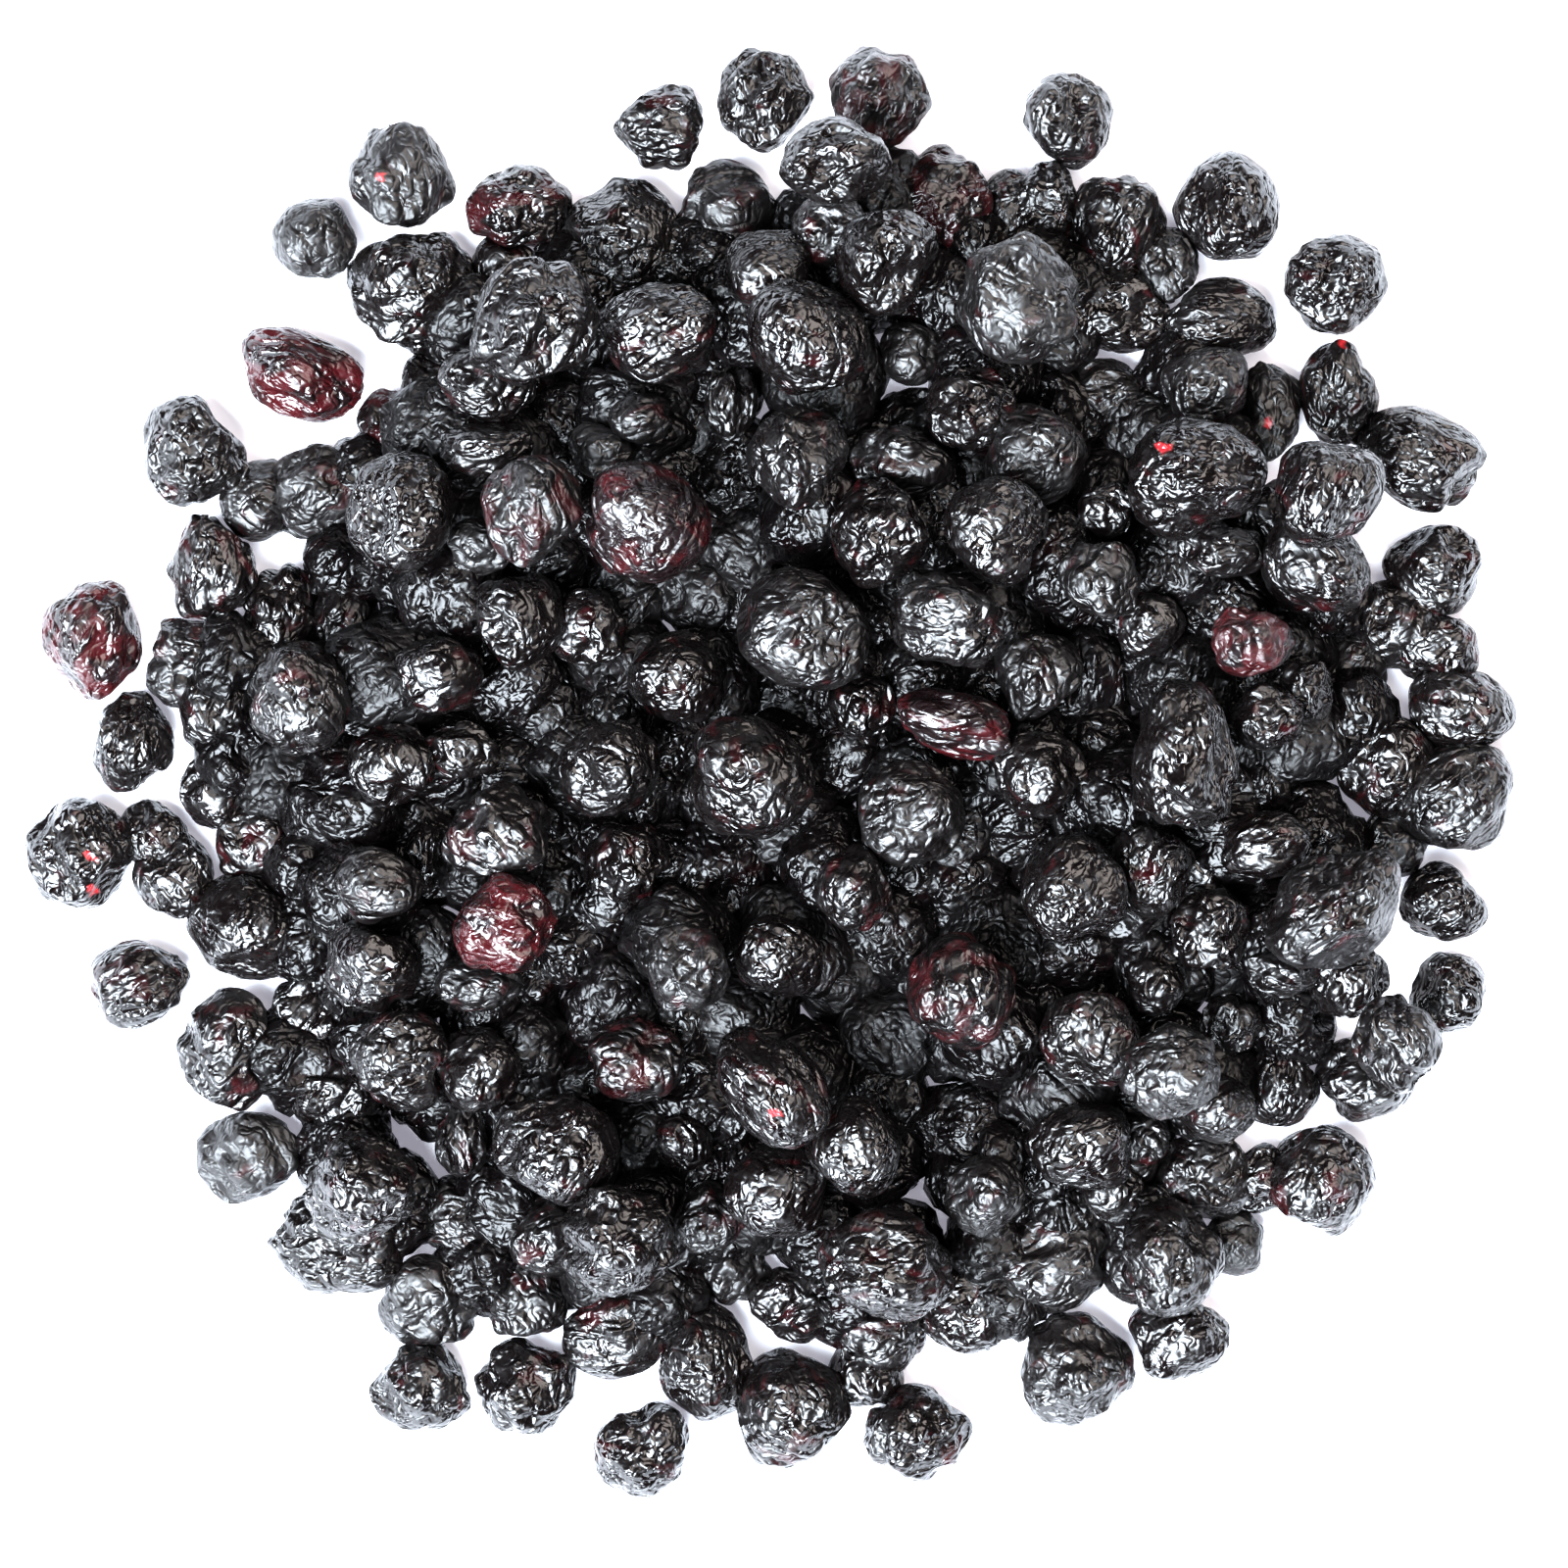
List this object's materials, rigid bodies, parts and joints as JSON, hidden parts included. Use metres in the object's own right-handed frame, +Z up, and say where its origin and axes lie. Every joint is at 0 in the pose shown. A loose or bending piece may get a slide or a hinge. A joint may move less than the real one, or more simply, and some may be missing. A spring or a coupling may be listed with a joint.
{
  "type": "heap of dried blueberries",
  "caption": "Low round heap of loose dried blueberries, near-black and glossy with wrinkled skins and a few wine-red ones, lying on a flat surface without a bowl.",
  "frame": {"origin": "in the plane that the heap lies on, under the middle of its bounding box", "axes": "+Z up out of the surface, +X to the right and +Y to the top of the picture, which looks straight down"},
  "size_m": [0.1256, 0.1222, 0.0204],
  "materials": {
    "dark_skin": "glossy wrinkled berry skin, blue-black",
    "wine_skin": "glossy wrinkled berry skin, dark wine red"
  },
  "bodies": {
    "root": {"fused_berries": "dark_skin", "edge_berry_01": "dark_skin", "edge_berry_02": "dark_skin", "edge_berry_03": "dark_skin", "edge_berry_04": "dark_skin", "edge_berry_05": "dark_skin", "edge_berry_06": "dark_skin", "edge_berry_07": "dark_skin", "edge_berry_08": "dark_skin", "edge_berry_09": "dark_skin", "edge_berry_10": "dark_skin", "edge_berry_11": "dark_skin", "edge_berry_12": "dark_skin", "edge_berry_13": "dark_skin", "edge_berry_14": "dark_skin", "edge_berry_15": "dark_skin", "edge_berry_16": "dark_skin", "edge_berry_17": "dark_skin", "edge_berry_18": "dark_skin", "edge_berry_19": "wine_skin", "edge_berry_20": "dark_skin", "edge_berry_21": "wine_skin", "edge_berry_22": "dark_skin", "edge_berry_23": "dark_skin", "top_berry_01": "dark_skin", "top_berry_02": "dark_skin", "top_berry_03": "dark_skin", "top_berry_04": "dark_skin", "top_berry_05": "dark_skin", "top_berry_06": "dark_skin", "top_berry_07": "dark_skin", "top_berry_08": "dark_skin", "top_berry_09": "dark_skin", "top_berry_10": "dark_skin", "top_berry_11": "dark_skin", "top_berry_12": "dark_skin", "top_berry_13": "dark_skin", "top_berry_14": "wine_skin", "top_berry_15": "dark_skin", "top_berry_16": "wine_skin", "top_berry_17": "dark_skin", "top_berry_18": "dark_skin", "top_berry_19": "dark_skin", "top_berry_20": "dark_skin", "top_berry_21": "dark_skin", "top_berry_22": "dark_skin", "top_berry_23": "dark_skin", "top_berry_24": "dark_skin", "top_berry_25": "dark_skin", "top_berry_26": "dark_skin", "top_berry_27": "dark_skin", "top_berry_28": "dark_skin", "top_berry_29": "wine_skin", "top_berry_30": "dark_skin", "top_berry_31": "dark_skin", "top_berry_32": "wine_skin", "top_berry_33": "dark_skin", "top_berry_34": "dark_skin", "top_berry_35": "dark_skin"}
  },
  "joints": []
}
